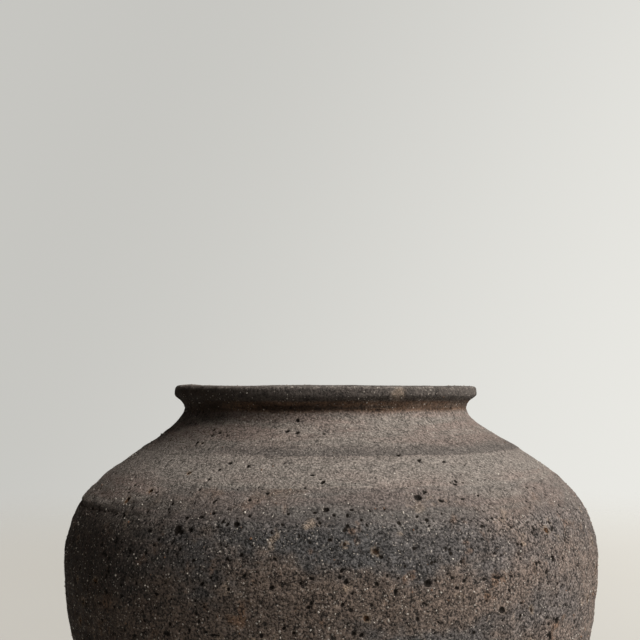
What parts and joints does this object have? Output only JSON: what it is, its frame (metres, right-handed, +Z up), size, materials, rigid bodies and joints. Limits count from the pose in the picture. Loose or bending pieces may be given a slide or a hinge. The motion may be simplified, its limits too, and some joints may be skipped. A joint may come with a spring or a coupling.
{
  "type": "black clay pot",
  "caption": "Hand-built black clay jar: flat foot, wide round belly and shoulder, short hollow neck and a rolled flat-topped lip.",
  "frame": {"origin": "middle of the underside of the foot, where the pot stands", "axes": "+Z up along the pot's axis of revolution, towards the mouth; +X and +Y are level"},
  "size_m": [0.3, 0.3, 0.24],
  "materials": {
    "foot_clay": "matte, coarse, scuffed where it stands",
    "belly_clay": "matte smoke-blackened clay, pitted, with light grit showing",
    "shoulder_clay": "matte taupe grey clay, smoothed, with fine grit showing",
    "neck_clay": "matte warm brown clay",
    "lip_clay": "matte charcoal clay, rubbed lighter along the edge"
  },
  "bodies": {
    "root": {"base_pat": "foot_clay", "foot_course": "foot_clay", "lower_wall_course": "belly_clay", "lower_belly_course": "belly_clay", "upper_belly_course": "belly_clay", "lower_shoulder_course": "shoulder_clay", "upper_shoulder_course": "shoulder_clay", "neck_collar": "neck_clay", "rolled_lip": "lip_clay"}
  },
  "joints": []
}
